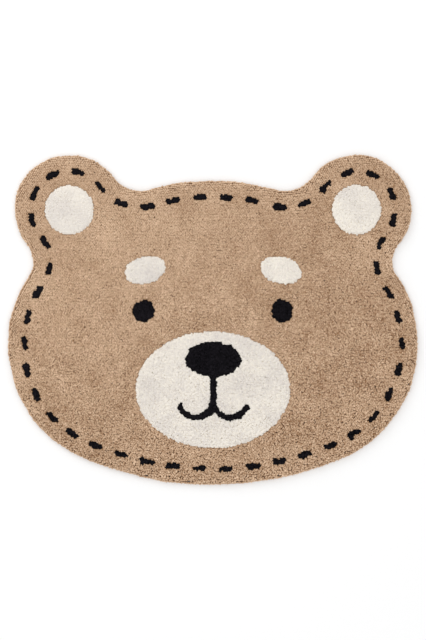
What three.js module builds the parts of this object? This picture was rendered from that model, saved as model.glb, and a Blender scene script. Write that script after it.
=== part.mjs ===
// A child's rug cut to the shape of a bear's head: one piece of tufted cotton pile, lying flat.
//
// Millimetres, +Z up. The rug lies on the plane z = 0. X runs across the head, +Y towards the
// ears, and the origin is the middle of the rug's underside.
//
// The outline is a chain of arcs that run into each other: a chin and a crown of large radius,
// a rounder cheek on each side, a round ear, and a hollow on both sides of each ear. The
// rim is the pile's own edge: it starts a little way in, where the tufts are rooted, leans out
// over the floor and rounds in again to the flat top.

import * as THREE from "three";

const WIDTH = 1000; // across the cheeks
const LENGTH = 805; // from the top of the ears to the chin

const CHEEK_RADIUS = 300;
const CHEEK_LEVEL = -60; // the head is widest at this Y
const CROWN_BELOW_EARS = 62; // the crown lies this far below the top of the ears
const EAR_RADIUS = 134;
const EAR_SPACING = 700; // between the middles of the ears
const CROWN_HOLLOW = 80; // radius of the hollow between the crown and an ear
const CHEEK_HOLLOW = 60; // radius of the hollow between a cheek and an ear

const OUTLINE_STEP = 12; // length of a straight facet along the outline

// The rim from the floor up: at each height, how far the pile lies inside the outline.
const RIM = [
  { height: 0, inset: 7 },
  { height: 2.5, inset: 5.6 },
  { height: 6, inset: 2 },
  { height: 9.5, inset: 0 },
  { height: 12.5, inset: 1.5 },
  { height: 14.3, inset: 5 },
  { height: 15, inset: 11 },
];

const PILE_COLOUR = 0xb8987c;
const PILE_ROUGHNESS = 0.95;

const point = (x, y) => new THREE.Vector2(x, y);

// The radius of the large arc that is centred on the line of symmetry, passes "rise" above or
// below the cheeks' level, and runs into the two cheek circles.
function largeRadius(rise, cheekX) {
  return (rise ** 2 + cheekX ** 2 - CHEEK_RADIUS ** 2) / (2 * (rise - CHEEK_RADIUS));
}

// The circle of this radius that touches circles a and b from outside. "side" is +1 for the one
// to the left of the way from a to b, and -1 for the one to the right.
function hollowBetween(a, b, radius, side) {
  const apart = a.centre.distanceTo(b.centre);
  const fromA = a.radius + radius;
  const fromB = b.radius + radius;
  const turn = Math.acos((fromA ** 2 + apart ** 2 - fromB ** 2) / (2 * fromA * apart));
  const towards = b.centre.clone().sub(a.centre).angle() + side * turn;
  const centre = point(Math.cos(towards), Math.sin(towards)).multiplyScalar(fromA).add(a.centre);
  return { centre, radius };
}

// The angle, seen from a circle's centre, at which it runs into another circle.
const angleTowards = (circle, other) => other.centre.clone().sub(circle.centre).angle();

// An arc from angle "from" to angle "to", counter-clockwise, or clockwise where it is a hollow.
function arc(circle, from, to, hollow = false) {
  const full = 2 * Math.PI;
  const turn = hollow ? -((((from - to) % full) + full) % full) : (((to - from) % full) + full) % full;
  const steps = Math.ceil((Math.abs(turn) * circle.radius) / OUTLINE_STEP);
  return { ...circle, from, turn, steps, hollow };
}

// The right half of the outline, as arcs from the middle of the chin to the middle of the crown.
// The cheek and the ear are two arcs each, so that a point falls where the rug is widest and
// where it is longest.
function rightHalf() {
  const cheekX = WIDTH / 2 - CHEEK_RADIUS;
  const crownY = LENGTH / 2 - CROWN_BELOW_EARS;
  const chinRadius = largeRadius(CHEEK_LEVEL + LENGTH / 2, cheekX);
  const crownRadius = largeRadius(crownY - CHEEK_LEVEL, cheekX);

  const chin = { centre: point(0, chinRadius - LENGTH / 2), radius: chinRadius };
  const crown = { centre: point(0, crownY - crownRadius), radius: crownRadius };
  const cheek = { centre: point(cheekX, CHEEK_LEVEL), radius: CHEEK_RADIUS };
  const ear = { centre: point(EAR_SPACING / 2, LENGTH / 2 - EAR_RADIUS), radius: EAR_RADIUS };
  const lower = hollowBetween(cheek, ear, CHEEK_HOLLOW, -1);
  const upper = hollowBetween(crown, ear, CROWN_HOLLOW, 1);

  const outwards = 0;
  const up = Math.PI / 2;
  const down = -up;
  const chinToCheek = angleTowards(chin, cheek);
  return [
    arc(chin, down, chinToCheek),
    arc(cheek, chinToCheek, outwards),
    arc(cheek, outwards, angleTowards(cheek, lower)),
    arc(lower, angleTowards(lower, cheek), angleTowards(lower, ear), true),
    arc(ear, angleTowards(ear, lower), up),
    arc(ear, up, angleTowards(ear, upper)),
    arc(upper, angleTowards(upper, ear), angleTowards(upper, crown), true),
    arc(crown, angleTowards(crown, upper), up),
  ];
}

// The outline drawn in by "inset". Every arc keeps its centre and its angles, so the points of
// two outlines answer each other one by one.
function outline(arcs, inset) {
  const right = arcs.flatMap(({ centre, radius, from, turn, steps, hollow }) => {
    const drawnIn = hollow ? radius + inset : radius - inset;
    return Array.from({ length: steps }, (_, i) => {
      const angle = from + (turn * i) / steps;
      return point(Math.cos(angle), Math.sin(angle)).multiplyScalar(drawnIn).add(centre);
    });
  });
  const last = arcs.at(-1);
  const crownTop = point(0, last.centre.y + last.radius - inset);
  const left = right.slice(1).reverse().map(({ x, y }) => point(-x, y));
  return [...right, crownTop, ...left];
}

// One closed body: a ring of points for each height of the rim, joined by bands of triangles, and
// shut by a flat underside and a flat top.
function pileGeometry(arcs) {
  const rings = RIM.map(({ height, inset }) => ({ height, points: outline(arcs, inset) }));
  const around = rings[0].points.length;

  const positions = rings.flatMap(({ height, points }) => points.flatMap(({ x, y }) => [x, y, height]));
  const faces = [];
  for (let band = 0; band + 1 < rings.length; band += 1) {
    for (let i = 0; i < around; i += 1) {
      const next = (i + 1) % around;
      const low = band * around;
      const high = low + around;
      faces.push(low + i, low + next, high + next, low + i, high + next, high + i);
    }
  }

  const top = (rings.length - 1) * around;
  for (const [a, b, c] of THREE.ShapeUtils.triangulateShape(rings[0].points, [])) {
    faces.push(a, c, b);
  }
  for (const [a, b, c] of THREE.ShapeUtils.triangulateShape(rings.at(-1).points, [])) {
    faces.push(top + a, top + b, top + c);
  }

  const geometry = new THREE.BufferGeometry();
  geometry.setAttribute("position", new THREE.Float32BufferAttribute(positions, 3));
  geometry.setIndex(faces);
  geometry.computeVertexNormals();
  return geometry;
}

const cottonPile = new THREE.MeshStandardMaterial({
  color: PILE_COLOUR,
  roughness: PILE_ROUGHNESS,
  metalness: 0,
});

const rug = new THREE.Mesh(pileGeometry(rightHalf()), cottonPile);
rug.name = "rug";

const group = new THREE.Group();
group.add(rug);

export default group;
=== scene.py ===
"""A child's rug in the shape of a bear's head: cut cotton pile on a woven ground cloth.

Everything is in metres, +Z up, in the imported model's frame. The rug lies on the plane z = 0, X runs
across the head and +Y towards the ears. The ground cloth is one thin slab. The pile is made tuft
by tuft: each tuft is a small closed bundle of yarn that is rooted in the cloth, leans with the
waves of the pile and ends in a blunt, rounded cut. Its yarn is chosen where its root stands.
"""

from __future__ import annotations

import logging
import math
from dataclasses import dataclass, field, fields
from enum import Enum

import bpy
import numpy as np
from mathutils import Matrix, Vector

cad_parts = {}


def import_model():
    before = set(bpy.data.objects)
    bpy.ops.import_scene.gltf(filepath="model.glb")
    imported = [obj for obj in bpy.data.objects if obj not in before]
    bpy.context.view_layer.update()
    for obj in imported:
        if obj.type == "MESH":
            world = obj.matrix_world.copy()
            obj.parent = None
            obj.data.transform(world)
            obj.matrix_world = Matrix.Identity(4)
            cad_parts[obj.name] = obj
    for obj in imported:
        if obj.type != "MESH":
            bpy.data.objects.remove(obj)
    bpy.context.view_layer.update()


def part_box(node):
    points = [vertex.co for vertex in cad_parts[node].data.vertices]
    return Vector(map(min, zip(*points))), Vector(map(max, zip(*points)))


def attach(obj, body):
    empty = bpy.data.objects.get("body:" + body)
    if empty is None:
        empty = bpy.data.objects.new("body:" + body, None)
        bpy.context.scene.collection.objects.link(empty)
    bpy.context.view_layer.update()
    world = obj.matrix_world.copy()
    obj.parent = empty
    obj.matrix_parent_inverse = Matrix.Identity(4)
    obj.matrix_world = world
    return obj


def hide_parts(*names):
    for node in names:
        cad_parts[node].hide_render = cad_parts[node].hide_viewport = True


LOG = logging.getLogger("kids_rug")

RUG_NODE = "rug"
PHOTO_WIDTH, PHOTO_HEIGHT = 426, 640

Array = np.ndarray
Place = tuple[float, float]
Span = tuple[float, float]
Spot = tuple[float, float, float]
Colour = tuple[float, float, float]

FULL_TURN = 2 * math.pi
LEAST_LENGTH = 1e-12
LEAST_ANGLE = 1e-6
LEAST_SHARE = 1e-5
FLOOR_GAP = 0.0001


def unit(vectors: Array) -> Array:
    """Scales each row of an array to a length of one.

    Args:
        vectors: Rows of two or three numbers.

    Returns:
        The rows divided by their own lengths.
    """
    lengths = np.linalg.norm(vectors, axis=-1, keepdims=True)
    return vectors / np.maximum(lengths, LEAST_LENGTH)


def on_circle(angles: Array) -> Array:
    """The cosine and sine of each angle, as X and Y on a circle of radius one."""
    return np.stack([np.cos(angles), np.sin(angles)], axis=1)


@dataclass(frozen=True)
class Arc:
    """One arc of the outline, from its start angle through its turn.

    The turn is positive, counter-clockwise, where the outline bulges, and negative where it is
    hollow.
    """

    centre: Place
    radius: float
    start: float
    turn: float

    def radius_at(self, inset: float) -> float:
        """The arc's radius once the outline is drawn in: less for a bulge, more for a hollow."""
        return self.radius - math.copysign(inset, self.turn)

    def length_at(self, inset: float) -> float:
        """The arc's length once the outline is drawn in."""
        return abs(self.turn) * self.radius_at(inset)

    def points(self, inset: float, step: float) -> Array:
        """Places points evenly along the arc, without its end point.

        Args:
            inset: How far the outline is drawn in.
            step: The largest distance between two points on the outline itself.

        Returns:
            An array of X and Y.
        """
        count = math.ceil(abs(self.turn) * self.radius / step)
        angles = self.start + self.turn * np.arange(count) / count
        return np.array(self.centre) + self.radius_at(inset) * on_circle(angles)

    def reach(self, places: Array) -> tuple[Array, Array, Array]:
        """Measures places against the arc.

        Args:
            places: X and Y of each place, on the right half of the rug.

        Returns:
            How far each place lies inside the arc, the outward direction there, and the share of
            the turn at which it lies, which is from 0 to 1 for places beside the arc.
        """
        from_centre = places - np.array(self.centre)
        away = np.linalg.norm(from_centre, axis=1)
        side = math.copysign(1.0, self.turn)
        angles = np.arctan2(from_centre[:, 1], from_centre[:, 0])
        swept = np.mod((angles - self.start) * side + LEAST_ANGLE, FULL_TURN) - LEAST_ANGLE
        return side * (self.radius - away), side * unit(from_centre), swept / abs(self.turn)


@dataclass(frozen=True)
class Whereabouts:
    """Where places lie against the outline.

    inside is the distance in from the outline, outward the unit vector towards it, and along the
    distance from the middle of the chin, measured on the line of the running stitch.
    """

    inside: Array
    outward: Array
    along: Array


@dataclass
class HeadOutline:
    """The rug's outline: a chain of arcs round a bear's head, alike on both sides of X = 0."""

    width: float
    length: float
    cheek_radius: float = 0.300
    cheek_level: float = -0.060
    crown_below_ears: float = 0.062
    ear_radius: float = 0.134
    ear_spacing: float = 0.700
    crown_hollow: float = 0.080
    cheek_hollow: float = 0.060
    arcs: list[Arc] = field(init=False)

    def __post_init__(self) -> None:
        """Works out the arcs of the right half, from the chin up to the crown."""
        cheek = (self.width / 2 - self.cheek_radius, self.cheek_level)
        crown_level = self.length / 2 - self.crown_below_ears
        chin_radius = self._large_radius(self.cheek_level + self.length / 2)
        crown_radius = self._large_radius(crown_level - self.cheek_level)
        chin = (0.0, chin_radius - self.length / 2)
        crown = (0.0, crown_level - crown_radius)
        ear = self.ear
        lower = self._hollow(cheek, self.cheek_radius, ear, self.cheek_hollow, -1)
        upper = self._hollow(crown, crown_radius, ear, self.crown_hollow, 1)

        towards = self._towards
        up = math.pi / 2
        bend = towards(chin, cheek)
        self.arcs = [
            self._bulge(chin, chin_radius, -up, bend),
            self._bulge(cheek, self.cheek_radius, bend, towards(cheek, lower)),
            self._dip(lower, self.cheek_hollow, towards(lower, cheek), towards(lower, ear)),
            self._bulge(ear, self.ear_radius, towards(ear, lower), towards(ear, upper)),
            self._dip(upper, self.crown_hollow, towards(upper, ear), towards(upper, crown)),
            self._bulge(crown, crown_radius, towards(crown, upper), up),
        ]

    @property
    def ear(self) -> Place:
        """The middle of the right ear."""
        return self.ear_spacing / 2, self.length / 2 - self.ear_radius

    def _large_radius(self, rise: float) -> float:
        """The radius of the arc, centred on X = 0, that runs into both cheek circles.

        Args:
            rise: How far the arc's own end, on X = 0, lies from the cheeks' level.

        Returns:
            The radius at which the two circles touch, by Pythagoras' theorem.
        """
        cheek_x = self.width / 2 - self.cheek_radius
        return (rise**2 + cheek_x**2 - self.cheek_radius**2) / (2 * (rise - self.cheek_radius))

    @staticmethod
    def _towards(place: Place, other: Place) -> float:
        """The angle at which one place sees another."""
        return math.atan2(other[1] - place[1], other[0] - place[0])

    @staticmethod
    def _bulge(centre: Place, radius: float, start: float, end: float) -> Arc:
        """An arc from one angle to another, counter-clockwise."""
        return Arc(centre, radius, start, (end - start) % FULL_TURN)

    @staticmethod
    def _dip(centre: Place, radius: float, start: float, end: float) -> Arc:
        """An arc from one angle to another, clockwise."""
        return Arc(centre, radius, start, (end - start) % FULL_TURN - FULL_TURN)

    def _hollow(self, big: Place, big_radius: float, ear: Place, radius: float, side: int) -> Place:
        """Places a hollow between the ear and a larger circle.

        Args:
            big: The larger circle's centre.
            big_radius: Its radius.
            ear: The ear's centre.
            radius: The hollow's radius.
            side: 1 for the hollow to the left of the way to the ear, -1 for the one to the right.

        Returns:
            The centre of the circle that touches both from outside, by the law of cosines.
        """
        apart = math.dist(big, ear)
        near, far = big_radius + radius, self.ear_radius + radius
        turn = math.acos((near**2 + apart**2 - far**2) / (2 * near * apart))
        angle = self._towards(big, ear) + side * turn
        return big[0] + near * math.cos(angle), big[1] + near * math.sin(angle)

    def half_length(self, inset: float) -> float:
        """The length of the right half of the outline once it is drawn in."""
        return sum(arc.length_at(inset) for arc in self.arcs)

    def ring(self, inset: float, step: float) -> Array:
        """Places points round the whole outline, counter-clockwise from the middle of the chin.

        Args:
            inset: How far the outline is drawn in. Every inset gives the same number of points.
            step: The largest distance between two points on the outline itself.

        Returns:
            An array of X and Y.
        """
        right = np.concatenate([arc.points(inset, step) for arc in self.arcs])
        crown = self.arcs[-1]
        top = np.array([[0.0, crown.centre[1] + crown.radius_at(inset)]])
        left = right[:0:-1] * (-1.0, 1.0)
        return np.concatenate([right, top, left])

    def area(self, step: float = 0.002) -> float:
        """The area inside the outline: half the sum of the cross products of neighbouring points."""
        x, y = self.ring(0.0, step).T
        return float(np.sum(x * np.roll(y, -1) - y * np.roll(x, -1)) / 2)

    def whereabouts(self, places: Array, stitch_inset: float) -> Whereabouts:
        """Measures places against the outline.

        The nearest point of a chain of touching arcs lies beside one of them, so each place takes
        the nearest of the arcs that it lies beside.

        Args:
            places: X and Y of each place.
            stitch_inset: How far in the line runs on which the way along is measured.

        Returns:
            How far inside each place lies, the outward direction and the way along.
        """
        mirror = np.where(places[:, :1] < 0, (-1.0, 1.0), (1.0, 1.0))
        right = places * mirror
        inside = np.full(len(places), np.inf)
        outward = np.zeros_like(places)
        along = np.zeros(len(places))
        passed = 0.0
        for arc in self.arcs:
            depth, direction, share = arc.reach(right)
            beside = (share >= -LEAST_SHARE) & (share <= 1 + LEAST_SHARE)
            nearer = beside & (np.abs(depth) < np.abs(inside))
            inside = np.where(nearer, depth, inside)
            outward = np.where(nearer[:, None], direction, outward)
            along = np.where(nearer, passed + share * arc.length_at(stitch_inset), along)
            passed += arc.length_at(stitch_inset)
        return Whereabouts(inside, outward * mirror, along)


@dataclass(frozen=True)
class SoftNoise:
    """Random numbers on a square lattice, blended smoothly between its points."""

    seed: int
    spacing: float
    parts: int = 1
    reach: float = 0.8

    def at(self, places: Array) -> Array:
        """Reads the noise.

        The four lattice values round a place are blended by 3t^2 - 2t^3 of its shares of a cell.

        Args:
            places: X and Y of each place, within reach of the origin.

        Returns:
            One row for each place, with numbers from about -1 to 1.
        """
        count = math.ceil(2 * self.reach / self.spacing) + 2
        table = np.random.default_rng(self.seed).uniform(-1, 1, (count, count, self.parts))
        cells = (places + self.reach) / self.spacing
        low = np.floor(cells).astype(int)
        share = cells - low
        share = share * share * (3 - 2 * share)
        (i, j), (s, t) = low.T, share.T[:, :, None]
        bottom = table[i, j] * (1 - s) + table[i + 1, j] * s
        top = table[i, j + 1] * (1 - s) + table[i + 1, j + 1] * s
        return bottom * (1 - t) + top * t


class Yarn(Enum):
    """The three yarns of the pile, each with a short name."""

    TAN = "tan_pile"
    CREAM = "cream_pile"
    BLACK = "black_pile"


@dataclass(frozen=True)
class Oval:
    """An oval patch of one yarn, on both sides of X = 0 unless its middle is there."""

    yarn: Yarn
    middle: Place
    half_axes: Span
    tilt: float = 0.0

    def covers(self, places: Array) -> Array:
        """Tells which places lie in the oval.

        Args:
            places: X and Y of each place on the right half.

        Returns:
            True where the two turned coordinates, each over its half axis, have squares that add
            to one or less.
        """
        x, y = (places - np.array(self.middle)).T
        cosine, sine = math.cos(self.tilt), math.sin(self.tilt)
        along = (x * cosine + y * sine) / self.half_axes[0]
        across = (y * cosine - x * sine) / self.half_axes[1]
        return along**2 + across**2 <= 1


@dataclass(frozen=True)
class CurvedLine:
    """A line of one yarn along an arc, with round ends."""

    yarn: Yarn
    middle: Place
    radius: float
    start: float
    end: float
    width: float

    def covers(self, places: Array) -> Array:
        """Tells which places lie within half the line's width of its arc.

        Args:
            places: X and Y of each place on the right half.

        Returns:
            True where the nearest point of the arc is near enough.
        """
        from_middle = places - np.array(self.middle)
        angles = np.arctan2(from_middle[:, 1], from_middle[:, 0])
        half = (self.end - self.start) / 2
        turned = np.mod(angles - self.start - half + math.pi, FULL_TURN) - math.pi
        nearest = self.start + half + np.clip(turned, -half, half)
        on_arc = self.radius * on_circle(nearest)
        return np.linalg.norm(from_middle - on_arc, axis=1) <= self.width / 2


@dataclass(frozen=True)
class StraightLine:
    """An upright line of one yarn, with round ends."""

    yarn: Yarn
    x: float
    low: float
    high: float
    width: float

    def covers(self, places: Array) -> Array:
        """Tells which places lie within half the line's width of it.

        Args:
            places: X and Y of each place on the right half.

        Returns:
            True where the nearest point of the line is near enough.
        """
        nearest = np.clip(places[:, 1], self.low, self.high)
        return np.hypot(places[:, 0] - self.x, places[:, 1] - nearest) <= self.width / 2


@dataclass(frozen=True)
class RunningStitch:
    """A row of even dashes that follows the rim."""

    yarn: Yarn = Yarn.BLACK
    inset: float = 0.040
    dash: float = 0.034
    width: float = 0.0135
    dashes_each_side: int = 23

    def covers(self, where: Whereabouts, half_length: float) -> Array:
        """Tells which places lie in a dash.

        Args:
            where: Where the places lie against the outline.
            half_length: The stitch line's length on one side of X = 0.

        Returns:
            True within half a width of the straight middle stretch of a dash.
        """
        pitch = half_length / self.dashes_each_side
        from_middle = np.abs(np.mod(where.along, pitch) - pitch / 2)
        past_end = np.maximum(from_middle - (self.dash - self.width) / 2, 0)
        return np.hypot(past_end, where.inside - self.inset) <= self.width / 2


@dataclass
class BearFace:
    """The pattern in the pile: inner ears, brows, eyes, muzzle, nose, mouth and a stitched rim.

    It is tufted by hand, so its borders stray with the wobble of the tufting tool: those of the
    cream patches by up to cream_stray, and those of the black marks by up to black_stray. An oval's
    size is that of its half axes. The smile is an arc on each side, which starts at the lip, where
    the line under the nose ends.
    """

    outline: HeadOutline
    inner_ear: Span = (0.060, 0.060)
    brow_at: Place = (0.165, 0.122)
    brow: Span = (0.051, 0.033)
    brow_tilt: float = math.radians(-15)
    muzzle_at: Place = (0.0, -0.170)
    muzzle: Span = (0.188, 0.142)
    eye_at: Place = (0.168, 0.022)
    eye: Span = (0.027, 0.027)
    nose_at: Place = (0.0, -0.096)
    nose: Span = (0.068, 0.043)
    under_nose: float = -0.120
    lip: float = -0.196
    smile: float = 0.042
    smile_end: float = math.radians(-22)
    line_width: float = 0.0155
    cream_stray: float = 0.0015
    black_stray: float = 0.0030
    wobble: SoftNoise = SoftNoise(seed=61, spacing=0.0085, parts=2)
    stitch: RunningStitch = field(default_factory=RunningStitch)
    marks: list[Oval | CurvedLine | StraightLine] = field(init=False)

    def __post_init__(self) -> None:
        """Lays the marks out. A later mark covers an earlier one."""
        corner = (self.smile, self.lip)
        width = self.line_width
        self.marks = [
            Oval(Yarn.CREAM, self.outline.ear, self.inner_ear),
            Oval(Yarn.CREAM, self.brow_at, self.brow, self.brow_tilt),
            Oval(Yarn.CREAM, self.muzzle_at, self.muzzle),
            Oval(Yarn.BLACK, self.eye_at, self.eye),
            Oval(Yarn.BLACK, self.nose_at, self.nose),
            StraightLine(Yarn.BLACK, 0.0, self.lip, self.under_nose, width),
            CurvedLine(Yarn.BLACK, corner, self.smile, -math.pi, self.smile_end, width),
        ]

    def yarn_at(self, places: Array) -> Array:
        """Chooses the yarn of each tuft.

        Args:
            places: X and Y of each tuft's root.

        Returns:
            The yarns, as an array of Yarn members.
        """
        wobble = self.wobble.at(places)
        strayed = {
            Yarn.CREAM: places + self.cream_stray * wobble,
            Yarn.BLACK: places + self.black_stray * wobble,
        }
        yarns = np.full(len(places), Yarn.TAN, dtype=object)
        for mark in self.marks:
            x, y = strayed[mark.yarn].T
            yarns[mark.covers(np.stack([np.abs(x), y], axis=1))] = mark.yarn
        where = self.outline.whereabouts(strayed[self.stitch.yarn], self.stitch.inset)
        stitched = self.stitch.covers(where, self.outline.half_length(self.stitch.inset))
        yarns[stitched] = self.stitch.yarn
        return yarns

    def parting(self, places: Array, yarns: Array, within: float = 0.0042, looks: int = 12) -> Array:
        """Finds which way tufts near a change of yarn lean, which is away from the other yarn.

        Each look that meets another yarn adds a unit vector away from it, and the sum is divided by
        half the number of looks.

        Args:
            places: X and Y of each tuft's root.
            yarns: The yarn of each tuft.
            within: How far off another yarn still counts.
            looks: How many places round each root are looked at.

        Returns:
            For each tuft a vector away from the other yarns, of length 0 far from them and up to
            about 0.6 beside a straight border.
        """
        away = np.zeros_like(places)
        for angle in np.arange(looks) * (FULL_TURN / looks):
            direction = np.array([math.cos(angle), math.sin(angle)])
            differs = self.yarn_at(places + within * direction) != yarns
            away -= differs[:, None] * direction * (2 / looks)
        return away


@dataclass(frozen=True)
class Clumps:
    """The small clumps into which the tufts of a cut pile fall."""

    seed: int = 11
    spacing: float = 0.0098
    scatter: float = 0.42
    reach: float = 0.8

    def nearest(self, places: Array) -> tuple[Array, Array]:
        """Finds the clump of each tuft.

        Each cell of a square lattice holds one middle, moved at random, and a tuft belongs to the
        nearest of the nine middles round it.

        Args:
            places: X and Y of each tuft's root.

        Returns:
            The middle of each tuft's clump, and the clump's number.
        """
        count = math.ceil(2 * self.reach / self.spacing) + 4
        rng = np.random.default_rng(self.seed)
        moved = rng.uniform(-self.scatter, self.scatter, (count, count, 2))
        cells = np.floor((places + self.reach) / self.spacing).astype(int) + 1
        best = np.full(len(places), np.inf)
        middles = np.zeros_like(places)
        numbers = np.zeros(len(places), dtype=int)
        for step in np.ndindex(3, 3):
            at = cells + np.array(step) - 1
            middle = (at - 1 + 0.5 + moved[at[:, 0], at[:, 1]]) * self.spacing - self.reach
            away = ((places - middle) ** 2).sum(axis=1)
            nearer = away < best
            best = np.where(nearer, away, best)
            middles = np.where(nearer[:, None], middle, middles)
            numbers = np.where(nearer, at[:, 0] * count + at[:, 1], numbers)
        return middles, numbers


@dataclass
class Tufts:
    """Many tufts of yarn as arrays, one row for each tuft.

    bend says how late a tuft leans over: its way out grows with the height to this power.
    """

    roots: Array
    tips: Array
    bend: Array
    girth: Array
    shade: Array
    yarns: Array

    def __len__(self) -> int:
        """The number of tufts."""
        return len(self.roots)

    def chosen(self, which: Array) -> Tufts:
        """The tufts that an array of true and false picks out."""
        return Tufts(*(getattr(self, part.name)[which] for part in fields(self)))

    @staticmethod
    def joined(groups: list[Tufts]) -> Tufts:
        """Puts several groups of tufts into one."""
        columns = ([getattr(group, part.name) for group in groups] for part in fields(Tufts))
        return Tufts(*(np.concatenate(column) for column in columns))


@dataclass
class TuftShape:
    """The shape of one tuft: it opens from its root to a full belly and rounds in to the cut tip.

    The belly is where neighbouring tufts press together, so no cloth shows between them. Below the
    shoulder the pile is painted much nearer to the root's colour, as painted shading for the hollows
    between the tufts. A ring's first direction is square to the tuft and to the one named aside.
    """

    sides: int = 5
    belly_at: float = 0.42
    shoulder_at: float = 0.90
    belly: float = 1.26
    shoulder: float = 0.80
    belly_shading: float = 0.10
    shoulder_shading: float = 0.62
    unevenness: float = 0.16
    aside: Spot = (0.31, 0.95, 0.0)
    cell_belly: float = 0.37
    cell_shoulder: float = 0.25
    cell_root: float = 0.485
    seed: int = 5

    @property
    def fade(self) -> list[float]:
        """How far each point of a tuft is from the painted shading of the root, from 0 at the root to 1
        at the tip.
        """
        belly = [self.belly_shading] * self.sides
        shoulder = [self.shoulder_shading] * self.sides
        return [0.0, *belly, *shoulder, 1.0]

    def points(self, tufts: Tufts) -> Array:
        """Works out the corner points of all tufts.

        The middle of a tuft at share t of its length lies at root + t * rise upwards, and at
        root + t^bend * lean sideways. A ring stands square to the way from the root to the tip, and
        what would reach under the floor is pressed flat on it.

        Args:
            tufts: The tufts.

        Returns:
            An array with a row for each tuft, of root, belly ring, shoulder ring and tip.
        """
        way = tufts.tips - tufts.roots
        axis = unit(way)
        first = unit(np.cross(axis, np.array(self.aside)))
        second = np.cross(axis, first)
        rng = np.random.default_rng(self.seed)
        twist = rng.uniform(0, FULL_TURN, len(tufts))
        angles = twist[:, None] + np.arange(self.sides) * (FULL_TURN / self.sides)
        around = np.cos(angles)[:, :, None] * first[:, None, :]
        around += np.sin(angles)[:, :, None] * second[:, None, :]
        rings = [tufts.roots[:, None, :]]
        for share, girth in ((self.belly_at, self.belly), (self.shoulder_at, self.shoulder)):
            sideways = share**tufts.bend
            upwards = np.full(len(tufts), share)
            middle = tufts.roots + way * np.stack([sideways, sideways, upwards], axis=1)
            uneven = 1 + rng.uniform(-self.unevenness, self.unevenness, angles.shape)
            radius = tufts.girth[:, None] * girth * uneven
            rings.append(middle[:, None, :] + radius[:, :, None] * around)
        rings.append(tufts.tips[:, None, :])
        points = np.concatenate(rings, axis=1)
        points[:, :, 2] = np.maximum(points[:, :, 2], 0.0)
        return points

    def faces(self) -> Array:
        """The triangles of one tuft, by the numbers of its points, outwards."""
        sides = self.sides
        low = 1 + np.arange(sides)
        low_next = 1 + (np.arange(sides) + 1) % sides
        high, high_next = low + sides, low_next + sides
        tip = np.full(sides, 1 + 2 * sides)
        root = np.zeros(sides, dtype=int)
        bands = [
            (low_next, low, root),
            (low, low_next, high_next),
            (low, high_next, high),
            (high, high_next, tip),
        ]
        return np.concatenate([np.stack(band, axis=1) for band in bands])

    def cell(self) -> Array:
        """Lays one tuft's triangles flat in a cell of its own, as a star seen from the tip.

        Returns:
            The place of each triangle's corners, from -0.5 to 0.5. The tip is in the middle, the
            rings lie round it, and the triangles that meet at the root point outwards.
        """
        turn = FULL_TURN / self.sides
        angles = np.arange(self.sides) * turn
        ring = on_circle(angles)
        middle = np.zeros((1, 2))
        points = np.concatenate([middle, self.cell_belly * ring, self.cell_shoulder * ring, middle])
        corners = points[self.faces()]
        corners[: self.sides, 2] = self.cell_root * on_circle(angles + turn / 2)
        return corners


def make_mesh(
    name: str, points: Array, triangles: Array, corner_map: Array | None, numbers: dict[str, Array]
) -> bpy.types.Object:
    """Puts arrays into a new mesh object.

    Args:
        name: The piece's name.
        points: X, Y and Z of each point.
        triangles: Three point numbers for each triangle, counter-clockwise from outside.
        corner_map: The place of each triangle's corners on the piece's own map, or None.
        numbers: Named values, one for each point.

    Returns:
        The object, which stands at the origin.
    """
    mesh = bpy.data.meshes.new(name)
    mesh.vertices.add(len(points))
    mesh.vertices.foreach_set("co", np.ascontiguousarray(points, np.float32).ravel())
    mesh.loops.add(triangles.size)
    mesh.loops.foreach_set("vertex_index", np.ascontiguousarray(triangles, np.int32).ravel())
    mesh.polygons.add(len(triangles))
    mesh.polygons.foreach_set("loop_start", np.arange(0, triangles.size, 3, dtype=np.int32))
    mesh.update(calc_edges=True)
    mesh.shade_smooth()
    if corner_map is not None:
        layer = mesh.uv_layers.new(name="OFBake")
        layer.data.foreach_set("uv", np.ascontiguousarray(corner_map, np.float32).ravel())
    for label, values in numbers.items():
        attribute = mesh.attributes.new(label, "FLOAT", "POINT")
        attribute.data.foreach_set("value", np.ascontiguousarray(values, np.float32))
    piece = bpy.data.objects.new(name, mesh)
    bpy.context.scene.collection.objects.link(piece)
    return piece


@dataclass(frozen=True)
class Unevenness:
    """How far one property of the tufts strays, and with what.

    nap, drift and curl are soft waves through the pile, from wide to narrow, clump is the stray that
    a clump's tufts share, and own is each tuft's own.
    """

    nap: float
    drift: float
    curl: float
    clump: float
    own: float


LEAN_PARTS = slice(0, 2)
RISE_PARTS = slice(2, 3)
SHADE_PARTS = slice(3, 4)
ALL_PARTS = 4

NAP = SoftNoise(seed=10, spacing=0.240, parts=ALL_PARTS)
DRIFT = SoftNoise(seed=21, spacing=0.055, parts=ALL_PARTS)
CURL = SoftNoise(seed=31, spacing=0.014, parts=ALL_PARTS)


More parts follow.
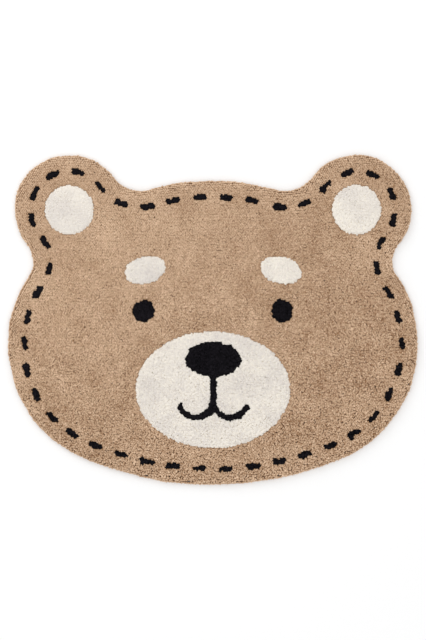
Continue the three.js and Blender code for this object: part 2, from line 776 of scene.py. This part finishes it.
@dataclass
class PileWaves:
    """The random numbers by which a field of tufts strays, in four parts from each source.

    Two parts are for the lean, one is for the rise of the tip and one for the shade. looseness is
    how many times as far as in the middle of the rug each tuft strays on its own.
    """

    rng: np.random.Generator
    roots: Array
    clumps: Clumps
    looseness: Array
    middles: Array = field(init=False)
    of_clump: Array = field(init=False)
    waves: list[Array] = field(init=False)

    def __post_init__(self) -> None:
        """Finds the clumps and reads the soft waves."""
        self.middles, numbers = self.clumps.nearest(self.roots)
        self.of_clump = self.rng.normal(0, 1, (numbers.max() + 1, ALL_PARTS))[numbers]
        self.waves = [wave.at(self.roots) for wave in (NAP, DRIFT, CURL)]

    def stray(self, amount: Unevenness, parts: slice) -> Array:
        """Adds the strays up: each is its amount times its own random number.

        Args:
            amount: How far the property strays.
            parts: Which of the parts it takes.

        Returns:
            An array with one column for each part.
        """
        shared = self.of_clump[:, parts]
        total = self.rng.normal(0, amount.own, shared.shape) * self.looseness[:, None]
        total += amount.clump * shared
        for size, wave in zip((amount.nap, amount.drift, amount.curl), self.waves):
            total += size * wave[:, parts]
        return total


@dataclass(frozen=True)
class RimRow:
    """One row of tufts along the rim, and how far each tuft strays from it.

    inset is how far inside the outline the roots stand, out how far the tips lie inside it, height
    the height of the tips, and pitch the distance between two tufts.
    """

    inset: float
    out: float
    height: float
    pitch: float = 0.0036
    stray_out: float = 0.0007
    stray_along: float = 0.0009
    stray_up: float = 0.0007
    lowest: float = 0.0026
    bend: float = 1.1
    fullness: float = 0.92
    girths: Span = (0.88, 1.12)
    stray_shade: float = 0.05


@dataclass
class CutPile:
    """The pile: tufts all over the rug, and two rows at the rim that lean out over the floor.

    On average a tip stands below the full height by settled, and it is kept from sunk below that
    height to raised above it. loosening is how fast the pile gets looser along X and Y, for each
    metre. No tuft's shade goes past most_shade either way. The pieces part at chin_from and
    upper_from along Y, and at ears_from on both sides of X = 0.
    """

    outline: HeadOutline
    face: BearFace
    height: float
    root_height: float
    pitch: float = 0.0042
    scatter: float = 0.185
    loosening: Place = (0.3, -0.95)
    settled: float = 0.0006
    sunk: float = 0.0055
    raised: float = 0.0010
    bend: float = 1.5
    girth: float = 0.0030
    girths: Span = (0.88, 1.14)
    cream_fullness: float = 1.18
    clump_pull: float = 0.02
    rim_inset: float = 0.0072
    rim_lean: float = 0.0048
    rim_drop: float = 0.0030
    rim_width: float = 0.0075
    # painted light on the rim: its tufts' shade is raised, towards the tips' colour
    rim_painted_light: float = 0.08
    rim_stray: float = 0.0022
    rim_wave: SoftNoise = SoftNoise(seed=41, spacing=0.040)
    rim_rows: tuple[RimRow, ...] = (
        RimRow(inset=0.0062, out=0.0010, height=0.0080),
        RimRow(inset=0.0058, out=0.0012, height=0.0036),
    )
    parting_lean: float = 0.0016
    parting_drop: float = 0.0024
    # painted shade: tufts beside another yarn move towards the root's colour, a thin groove shadow
    # along the borders
    parting_painted_shade: float = 0.12
    lean: Unevenness = Unevenness(nap=0.0008, drift=0.0010, curl=0.0004, clump=0.0001, own=0.0004)
    rise: Unevenness = Unevenness(nap=0.0, drift=0.0004, curl=0.0002, clump=0.0001, own=0.0005)
    # the shade's nap and drift are painted shade: lighter and darker wide stretches where the pile lies
    # different ways; own is each tuft's own tone
    shade: Unevenness = Unevenness(nap=0.065, drift=0.045, curl=0.0, clump=0.0, own=0.085)
    most_shade: float = 0.3
    upper_from: float = 0.135
    ears_from: float = 0.235
    chin_from: float = -0.205
    clumps: Clumps = field(default_factory=Clumps)
    shape: TuftShape = field(default_factory=TuftShape)
    seed: int = 3

    def looseness(self, places: Array) -> Array:
        """How many times as far the tufts stray at each place as in the middle of the rug."""
        return 1 + places @ np.array(self.loosening)

    def field_roots(self, rng: np.random.Generator) -> Array:
        """Places the roots in staggered rows, each a little off its place.

        Args:
            rng: The source of random numbers.

        Returns:
            X and Y of the roots that lie far enough inside the outline.
        """
        row_pitch = self.pitch * math.sqrt(3) / 2
        half_rows = math.ceil(self.outline.length / 2 / row_pitch)
        half_columns = math.ceil(self.outline.width / 2 / self.pitch) + 1
        rows, columns = np.mgrid[-half_rows : half_rows + 1, -half_columns : half_columns + 1]
        x = (columns + 0.5 * (rows % 2)) * self.pitch
        places = np.stack([x.ravel(), rows.ravel() * row_pitch], axis=1)
        scatter = rng.uniform(-self.scatter, self.scatter, places.shape) * self.pitch
        places += scatter * self.looseness(places)[:, None]
        where = self.outline.whereabouts(places, self.face.stitch.inset)
        return places[where.inside >= self.rim_inset]

    def field_tufts(self, rng: np.random.Generator) -> Tufts:
        """Makes the tufts that stand all over the rug.

        A tip is drawn towards the middle of its clump, leans with the clump and with the waves of
        the pile, away from another yarn beside it, and out near the rim. The pile is a little lower
        at the rim and where two yarns part. The rim's share falls off inwards, as
        exp(-distance / rim_width).

        Args:
            rng: The source of random numbers.

        Returns:
            The tufts.
        """
        roots = self.field_roots(rng)
        count = len(roots)
        where = self.outline.whereabouts(roots, self.face.stitch.inset)
        waves = PileWaves(rng, roots, self.clumps, self.looseness(roots))
        yarns = self.face.yarn_at(roots)
        parting = self.face.parting(roots, yarns)

        rim_share = np.exp(-(where.inside - self.rim_inset) / self.rim_width)
        way_out = rim_share * (self.rim_lean + self.rim_stray * self.rim_wave.at(roots)[:, 0])
        lean = self.clump_pull * (waves.middles - roots) + waves.stray(self.lean, LEAN_PARTS)
        lean += self.parting_lean * parting + way_out[:, None] * where.outward
        rise = waves.stray(self.rise, RISE_PARTS)[:, 0] - self.rim_drop * rim_share
        parted = np.linalg.norm(parting, axis=1)
        rise -= self.parting_drop * parted
        lowest, highest = self.height - self.sunk, self.height + self.raised
        heights = np.clip(self.height - self.settled + rise, lowest, highest)
        shade = waves.stray(self.shade, SHADE_PARTS)[:, 0]
        # painted light at the rim and painted shade along the borders of the yarns
        shade += self.rim_painted_light * rim_share - self.parting_painted_shade * parted

        fullness = np.where(yarns == Yarn.CREAM, self.cream_fullness, 1.0)
        return Tufts(
            roots=np.column_stack([roots, np.full(count, self.root_height)]),
            tips=np.column_stack([roots + lean, heights]),
            bend=np.full(count, self.bend),
            girth=self.girth * fullness * rng.uniform(*self.girths, count),
            shade=np.clip(shade, -self.most_shade, self.most_shade),
            yarns=yarns,
        )

    def rim_tufts(self, rng: np.random.Generator, row: RimRow) -> Tufts:
        """Makes the tufts of one row along the rim.

        Args:
            rng: The source of random numbers.
            row: The row.

        Returns:
            The tufts.
        """
        roots = self.outline.ring(row.inset, row.pitch)
        count = len(roots)
        where = self.outline.whereabouts(roots, self.face.stitch.inset)
        sideways = np.stack([-where.outward[:, 1], where.outward[:, 0]], axis=1)
        wave = self.rim_stray * self.rim_wave.at(roots)[:, 0]
        way_out = row.inset - row.out + wave + rng.normal(0, row.stray_out, count)
        along = rng.normal(0, row.stray_along, count)
        tips = roots + way_out[:, None] * where.outward + along[:, None] * sideways
        heights = np.maximum(row.height + rng.normal(0, row.stray_up, count), row.lowest)
        girth = row.fullness * self.girth * rng.uniform(*row.girths, count)
        # painted light on the rim rows: their shade is raised towards the tips' colour
        shade = self.rim_painted_light + rng.normal(0, row.stray_shade, count)
        return Tufts(
            roots=np.column_stack([roots, np.full(count, self.root_height)]),
            tips=np.column_stack([tips, heights]),
            bend=np.full(count, row.bend),
            girth=girth,
            shade=np.clip(shade, -self.most_shade, self.most_shade),
            yarns=self.face.yarn_at(roots),
        )

    def tufts(self) -> Tufts:
        """All tufts of the rug."""
        rng = np.random.default_rng(self.seed)
        groups = [self.field_tufts(rng)]
        groups += [self.rim_tufts(rng, row) for row in self.rim_rows]
        return Tufts.joined(groups)

    def zones(self, tufts: Tufts) -> dict[str, tuple[Yarn, Array]]:
        """Shares the tufts out among the pieces, so that none is too large.

        Args:
            tufts: All tufts.

        Returns:
            For each piece its yarn, and true for each of its tufts.
        """
        x, y = tufts.roots[:, 0], tufts.roots[:, 1]
        tan, cream, black = (tufts.yarns == yarn for yarn in Yarn)
        upper = y > self.upper_from
        ears = upper & (np.abs(x) > self.ears_from)
        chin = y < self.chin_from
        middle = ~upper & ~chin
        return {
            "pile_tan_ears": (Yarn.TAN, tan & ears),
            "pile_tan_forehead": (Yarn.TAN, tan & upper & ~ears),
            "pile_tan_cheek_left": (Yarn.TAN, tan & middle & (x < 0)),
            "pile_tan_cheek_right": (Yarn.TAN, tan & middle & (x >= 0)),
            "pile_tan_chin": (Yarn.TAN, tan & chin),
            "pile_cream": (Yarn.CREAM, cream),
            "pile_black": (Yarn.BLACK, black),
        }

    def build_piece(self, name: str, tufts: Tufts) -> bpy.types.Object:
        """Makes one piece of the pile.

        Args:
            name: The piece's name.
            tufts: Its tufts.

        Returns:
            The mesh object, with a cell of its own for each tuft on the piece's map.
        """
        points = self.shape.points(tufts)
        count, each = points.shape[:2]
        faces = self.shape.faces()
        triangles = (np.arange(count)[:, None, None] * each + faces).reshape(-1, 3)
        across = math.ceil(math.sqrt(count))
        cells = np.stack([np.arange(count) % across, np.arange(count) // across], axis=1)
        corner_map = (cells[:, None, None, :] + 0.5 + self.shape.cell()) / across
        numbers = {
            "shade": np.repeat(tufts.shade, each),
            "fade": np.tile(self.shape.fade, count),
        }
        corners = corner_map.reshape(-1, 2)
        return make_mesh(name, points.reshape(-1, 3), triangles, corners, numbers)

    def build(self) -> dict[str, bpy.types.Object]:
        """Makes and dresses every piece of the pile.

        Returns:
            The pieces by name.
        """
        tufts = self.tufts()
        finishes = {yarn: PILE_FINISHES[yarn].build() for yarn in Yarn}
        pieces = {}
        for name, (yarn, which) in self.zones(tufts).items():
            piece = self.build_piece(name, tufts.chosen(which))
            piece.data.materials.append(finishes[yarn])
            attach(piece, "root")
            LOG.info("%s: %d tufts, %d triangles", name, which.sum(), len(piece.data.polygons))
            pieces[name] = piece
        return pieces


@dataclass
class GroundCloth:
    """The woven cloth that the pile is tufted through, as a thin closed slab with a rounded edge."""

    outline: HeadOutline
    thickness: float = 0.0026
    inset: float = 0.0072
    edge_round: float = 0.0009
    step: float = 0.008

    def build(self) -> bpy.types.Object:
        """Makes the slab: rings round the outline, joined by bands and shut by two flat faces.

        The profile holds each ring's height and inset. Both edges are quarter circles of three
        rings.

        Returns:
            The mesh object.
        """
        rounding = self.edge_round * (1 - math.sqrt(0.5))
        profile = [
            (0.0, self.inset + self.edge_round),
            (rounding, self.inset + rounding),
            (self.edge_round, self.inset),
            (self.thickness - self.edge_round, self.inset),
            (self.thickness - rounding, self.inset + rounding),
            (self.thickness, self.inset + self.edge_round),
        ]
        rings = [self.outline.ring(inset, self.step) for _, inset in profile]
        count = len(rings[0])
        heights = np.repeat([height for height, _ in profile], count)
        points = np.column_stack([np.concatenate(rings), heights])
        around = np.arange(count)
        following = (around + 1) % count
        faces: list[list[int]] = []
        for low in range(0, count * (len(profile) - 1), count):
            high = low + count
            band = np.stack([low + around, low + following, high + following, high + around], axis=1)
            faces += band.tolist()
        faces.append(around[::-1].tolist())
        faces.append((around + count * (len(profile) - 1)).tolist())
        mesh = bpy.data.meshes.new("ground_cloth")
        mesh.from_pydata(points.tolist(), [], faces)
        mesh.update()
        cloth = bpy.data.objects.new("ground_cloth", mesh)
        bpy.context.scene.collection.objects.link(cloth)
        cloth.data.materials.append(GroundClothFinish().build())
        LOG.info("ground_cloth: %d points round the edge", count)
        return cloth


@dataclass(frozen=True)
class Lumps:
    """A noise pattern: how wide its lumps are, how many finer layers it has and how strong they are."""

    size: float
    detail: float
    roughness: float = 0.5


class NodeSheet:
    """A new material's nodes, added and joined one after another."""

    def __init__(self, name: str) -> None:
        """Starts a material with an empty set of nodes and its shader.

        Args:
            name: The material's name.
        """
        self.material = bpy.data.materials.new(name)
        self.material.use_nodes = True
        self.tree = self.material.node_tree
        self.tree.nodes.clear()
        self.shader = self.add("ShaderNodeBsdfPrincipled")
        output = self.add("ShaderNodeOutputMaterial")
        self.join(self.shader.outputs["BSDF"], output.inputs["Surface"])
        self.places = self.add("ShaderNodeTexCoord").outputs["Object"]

    def add(self, kind: str, **settings: object) -> bpy.types.Node:
        """Adds a node.

        Args:
            kind: The node's type.
            **settings: Its properties.

        Returns:
            The node.
        """
        node = self.tree.nodes.new(kind)
        for name, value in settings.items():
            setattr(node, name, value)
        return node

    def join(self, out: bpy.types.NodeSocket, into: bpy.types.NodeSocket) -> None:
        """Joins an output to an input."""
        self.tree.links.new(out, into)

    def feed(self, socket: bpy.types.NodeSocket, value: object) -> None:
        """Gives an input a number or colour, or joins an output to it."""
        if isinstance(value, bpy.types.NodeSocket):
            self.join(value, socket)
        else:
            socket.default_value = value

    def math(self, operation: str, *values: object) -> bpy.types.NodeSocket:
        """Adds a sum of numbers.

        Args:
            operation: The sum's name, such as MULTIPLY.
            *values: Its one, two or three values.

        Returns:
            The result.
        """
        node = self.add("ShaderNodeMath", operation=operation)
        for socket, value in zip(node.inputs, values):
            self.feed(socket, value)
        return node.outputs["Value"]

    def noise(self, lumps: Lumps) -> bpy.types.NodeSocket:
        """Adds a noise pattern from 0 to 1, in the rug's own coordinates."""
        node = self.add("ShaderNodeTexNoise")
        self.join(self.places, node.inputs["Vector"])
        node.inputs["Scale"].default_value = 1 / lumps.size
        node.inputs["Detail"].default_value = lumps.detail
        node.inputs["Roughness"].default_value = lumps.roughness
        return node.outputs["Fac"]

    def stretched(self, value: bpy.types.NodeSocket, span: Span) -> bpy.types.NodeSocket:
        """Brings a number from 0 to 1 to a span of its own, and carries on beyond both ends.

        Args:
            value: The number.
            span: What 0 and 1 become.

        Returns:
            The new number.
        """
        node = self.add("ShaderNodeMapRange", clamp=False)
        self.join(value, node.inputs["Value"])
        node.inputs["To Min"].default_value, node.inputs["To Max"].default_value = span
        return node.outputs["Result"]

    def attribute(self, name: str) -> bpy.types.NodeSocket:
        """Reads one of the piece's own named values."""
        return self.add("ShaderNodeAttribute", attribute_name=name).outputs["Fac"]

    def tinted(
        self, one: object, other: object, share: bpy.types.NodeSocket, clamp: bool = True
    ) -> bpy.types.NodeSocket:
        """Blends two colours.

        Args:
            one: The colour at a share of 0.
            other: The colour at a share of 1.
            share: The share.
            clamp: Whether a share over 1 counts as 1. Otherwise it goes on past the other colour.

        Returns:
            The blended colour.
        """
        node = self.add("ShaderNodeMix", data_type="RGBA", clamp_factor=clamp)
        first, second = (socket for socket in node.inputs if socket.type == "RGBA")
        self.feed(first, one)
        self.feed(second, other)
        self.join(share, node.inputs["Factor"])
        return next(socket for socket in node.outputs if socket.type == "RGBA")

    def scaled(self, colour: bpy.types.NodeSocket, by: bpy.types.NodeSocket) -> bpy.types.NodeSocket:
        """Multiplies a colour by a number."""
        node = self.add("ShaderNodeVectorMath", operation="SCALE")
        self.join(colour, node.inputs[0])
        self.join(by, node.inputs["Scale"])
        return node.outputs["Vector"]

    def bump(self, height: bpy.types.NodeSocket, strength: float, distance: float) -> None:
        """Gives the shader fine relief from a pattern of heights."""
        node = self.add("ShaderNodeBump")
        node.inputs["Strength"].default_value = strength
        node.inputs["Distance"].default_value = distance
        self.join(height, node.inputs["Height"])
        self.join(node.outputs["Normal"], self.shader.inputs["Normal"])

    def finished(
        self, colour: bpy.types.NodeSocket, roughness: object, specular: float, sheen: float = 0.0
    ) -> bpy.types.Material:
        """Gives the shader its looks.

        Args:
            colour: The base colour.
            roughness: How rough the surface is, as a number or an output.
            specular: How strong its gloss is.
            sheen: How strong the sheen of loose fibres is.

        Returns:
            The material.
        """
        inputs = self.shader.inputs
        self.join(colour, inputs["Base Color"])
        self.feed(inputs["Roughness"], roughness)
        inputs["Specular IOR Level"].default_value = specular
        inputs["Sheen Weight"].default_value = sheen
        return self.material


def colour4(colour: Colour) -> tuple[float, float, float, float]:
    """The colour with an alpha of one."""
    return (*colour, 1.0)


@dataclass(frozen=True)
class PileFinish:
    """Cut cotton yarn: matt, soft to the light, with painted cloudy shade where the pile leans in other
    ways.

    The colour deepens towards the root, as painted shade for the hollows between the tufts, except
    in undyed yarn, where it lightens towards the root as painted light for the light that passes
    through the yarn. Every other unevenness of the pile moves its colour along the same line, from
    the root's colour to the tip's and on past it: tuft, cloud and fibre are how far each tuft's
    shade, the clouds of painted shade and the flecks of single fibres do so.
    """

    name: str
    tip_colour: Colour
    other_tip_colour: Colour
    root_colour: Colour
    tuft: float
    cloud: float
    fibre: float
    specular: float
    sheen: float
    sheen_roughness: float = 0.45
    roughness: Span = (0.82, 1.0)
    flecks: Lumps = Lumps(size=0.0016, detail=2, roughness=0.6)
    clouds: Lumps = Lumps(size=0.060, detail=2)
    drift: Lumps = Lumps(size=0.045, detail=3)
    bump_strength: float = 0.45
    bump_depth: float = 0.0004

    def build(self) -> bpy.types.Material:
        """Makes the material.

        The colour at the tips drifts between two near tones. How far a place is from the root's painted
        shading is the tuft's own share there, plus what the strays add.

        Returns:
            The material.
        """
        sheet = NodeSheet(self.name)
        flecks = sheet.noise(self.flecks)
        strays = [
            sheet.math("MULTIPLY", sheet.attribute("shade"), self.tuft),
            sheet.stretched(sheet.noise(self.clouds), (-self.cloud, self.cloud)),
            sheet.stretched(flecks, (-self.fibre, self.fibre)),
        ]
        shading_and_tone = sheet.attribute("fade")
        for stray in strays:
            shading_and_tone = sheet.math("ADD", shading_and_tone, stray)
        shading_and_tone = sheet.math("MAXIMUM", shading_and_tone, 0.0)
        one, other, root = map(colour4, (self.tip_colour, self.other_tip_colour, self.root_colour))
        tips = sheet.tinted(one, other, sheet.noise(self.drift))
        # painted shading: from the root's colour, darker in dyed yarn and lighter in undyed yarn, to
        # the tips' colour
        tone = sheet.tinted(root, tips, shading_and_tone, clamp=False)
        sheet.shader.inputs["Sheen Roughness"].default_value = self.sheen_roughness
        sheet.bump(flecks, self.bump_strength, self.bump_depth)
        roughness = sheet.stretched(flecks, self.roughness)
        return sheet.finished(tone, roughness, self.specular, self.sheen)


@dataclass(frozen=True)
class GroundClothFinish:
    """Undyed cotton cloth in a basket weave of double yarns."""

    name: str = "undyed basket weave"
    colour: Colour = (0.66, 0.60, 0.50)
    # painted shade between the yarns of the weave
    gap_shade_colour: Colour = (0.36, 0.31, 0.24)
    yarn_pitch: float = 0.0020
    slubs: Lumps = Lumps(size=0.006, detail=3)
    slub_tones: Span = (0.88, 1.12)
    fuzz: Lumps = Lumps(size=0.0012, detail=2)
    roughness: Span = (0.85, 1.0)
    specular: float = 0.25
    sheen: float = 0.1
    bump_strength: float = 0.6
    bump_depth: float = 0.0005

    def build(self) -> bpy.types.Material:
        """Makes the material.

        Across the warp the height is the absolute sine of X, and across the weft that of Y. Which of
        the two lies on top changes from one crossing to the next, as on a draughts board.

        Returns:
            The material.
        """
        sheet = NodeSheet(self.name)
        split = sheet.add("ShaderNodeSeparateXYZ")
        sheet.join(sheet.places, split.inputs["Vector"])
        ridges = []
        cells = []
        for axis in ("X", "Y"):
            along = sheet.math("DIVIDE", split.outputs[axis], self.yarn_pitch)
            sine = sheet.math("SINE", sheet.math("MULTIPLY", along, math.pi))
            ridges.append(sheet.math("ABSOLUTE", sine))
            cells.append(sheet.math("FLOOR", sheet.math("MULTIPLY", along, 0.5)))
        odd = sheet.math("PINGPONG", sheet.math("ADD", *cells), 1.0)
        warp = sheet.math("MULTIPLY", ridges[0], sheet.math("SUBTRACT", 1.0, odd))
        weft = sheet.math("MULTIPLY", ridges[1], odd)
        weave = sheet.math("ADD", warp, weft)
        # painted shade: darker where the weave is low, between the yarns
        tone = sheet.tinted(colour4(self.gap_shade_colour), colour4(self.colour), weave)
        tone = sheet.scaled(tone, sheet.stretched(sheet.noise(self.slubs), self.slub_tones))
        roughness = sheet.stretched(sheet.noise(self.fuzz), self.roughness)
        sheet.bump(weave, self.bump_strength, self.bump_depth)
        return sheet.finished(tone, roughness, self.specular, self.sheen)


PILE_FINISHES = {
    Yarn.TAN: PileFinish(
        name="tan cotton pile",
        tip_colour=(0.700, 0.500, 0.336),
        other_tip_colour=(0.686, 0.484, 0.329),
        # painted shade: the tan pile darkens to this towards the root
        root_colour=(0.230, 0.095, 0.022),
        tuft=1.4,
        cloud=0.26,
        fibre=0.40,
        specular=0.25,
        sheen=0.12,
    ),
    Yarn.CREAM: PileFinish(
        name="cream cotton pile",
        tip_colour=(0.766, 0.711, 0.652),
        other_tip_colour=(0.753, 0.706, 0.657),
        # painted light: the cream pile lightens to this towards the root
        root_colour=(0.940, 0.885, 0.790),
        tuft=1.8,
        cloud=0.75,
        fibre=0.35,
        specular=0.25,
        sheen=0.10,
    ),
    Yarn.BLACK: PileFinish(
        name="black cotton pile",
        tip_colour=(0.0104, 0.0091, 0.0118),
        other_tip_colour=(0.0121, 0.0104, 0.0134),
        # painted shade: the black pile darkens to this towards the root
        root_colour=(0.0036, 0.0032, 0.0042),
        tuft=3.0,
        cloud=0.4,
        fibre=0.6,
        specular=0.06,
        sheen=0.0,
    ),
}


@dataclass(frozen=True)
class FloorFinish:
    """Smooth white paint, with the least unevenness."""

    name: str = "white studio floor"
    brightness: float = 0.96
    darkest: float = 0.995
    patches: Lumps = Lumps(size=0.9, detail=2)
    roughness: float = 0.9
    specular: float = 0.1

    def build(self) -> bpy.types.Material:
        """Makes the material, whose darkest places have that share of the full brightness."""
        sheet = NodeSheet(self.name)
        tones = (self.brightness * self.darkest, self.brightness)
        value = sheet.stretched(sheet.noise(self.patches), tones)
        return sheet.finished(value, self.roughness, self.specular)


@dataclass
class Studio:
    """The plain pale floor, the soft light and the camera straight above the rug."""

    pile_height: float
    floor_half: float = 150.0
    view_width: float = 1.0365
    camera_distance: float = 3.6
    sensor: float = 36.0
    farthest: float = 100.0
    ambient: float = 0.995
    ambient_colour: Colour = (1.0, 1.0, 1.0)
    softbox_at: Spot = (-2.00, 2.56, 1.68)
    softbox_size: Place = (1.76, 1.28)
    softbox_power: float = 25.0

    def floor(self) -> None:
        """Lays the floor just under the rug."""
        corners = self.floor_half * np.array([(-1, -1), (1, -1), (1, 1), (-1, 1)])
        points = np.column_stack([corners, np.full(len(corners), -FLOOR_GAP)])
        triangles = np.array([(0, 1, 2), (0, 2, 3)])
        floor = make_mesh("floor", points, triangles, None, {})
        floor.data.materials.append(FloorFinish().build())

    def light(self) -> None:
        """Sets an even pale surround and one low softbox beyond the left ear.

        The camera doesn't see the softbox itself.
        """
        world = bpy.data.worlds.new("studio")
        bpy.context.scene.world = world
        world.use_nodes = True
        background = world.node_tree.nodes["Background"]
        background.inputs["Color"].default_value = colour4(self.ambient_colour)
        background.inputs["Strength"].default_value = self.ambient
        lamp = bpy.data.lights.new("softbox", "AREA")
        lamp.shape = "RECTANGLE"
        lamp.size, lamp.size_y = self.softbox_size
        lamp.energy = self.softbox_power
        softbox = bpy.data.objects.new("softbox", lamp)
        softbox.location = self.softbox_at
        softbox.rotation_euler = (-Vector(self.softbox_at)).to_track_quat("-Z", "Y").to_euler()
        softbox.visible_camera = False
        bpy.context.scene.collection.objects.link(softbox)

    def camera(self) -> None:
        """Hangs the camera over the middle of the rug, with the ears towards the top of the picture.

        The picture is higher than it is wide, so the sensor's width stands for its height.
        """
        view_height = self.view_width * PHOTO_HEIGHT / PHOTO_WIDTH
        lens = bpy.data.cameras.new("camera")
        lens.sensor_width = self.sensor
        lens.lens = self.sensor * self.camera_distance / view_height
        lens.clip_end = self.farthest
        camera = bpy.data.objects.new("camera", lens)
        camera.location = (0.0, 0.0, self.pile_height + self.camera_distance)
        bpy.context.scene.collection.objects.link(camera)
        bpy.context.scene.camera = camera

    def build(self) -> None:
        """Sets up the floor, the light, the camera and the plain view of colours."""
        bpy.context.scene.view_settings.view_transform = "Standard"
        self.floor()
        self.light()
        self.camera()


@dataclass
class KidsRug:
    """The whole rug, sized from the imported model."""

    low: Array
    high: Array

    def build(self) -> None:
        width, length, height = self.high - self.low
        outline = HeadOutline(width=float(width), length=float(length))
        cloth = GroundCloth(outline)
        ground = cloth.build()
        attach(ground, "root")
        pile = CutPile(
            outline,
            BearFace(outline),
            height=float(height),
            root_height=cloth.thickness / 2,
        )
        pieces = pile.build()
        for piece in (ground, *pieces.values()):
            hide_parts(RUG_NODE)
        outline.area()


def main() -> None:
    logging.basicConfig(level=logging.INFO, format="%(name)s: %(message)s")
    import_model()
    low, high = (np.array(corner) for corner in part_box(RUG_NODE))
    Studio(pile_height=float(high[2])).build()
    KidsRug(low, high).build()


if __name__ == "__main__":
    main()
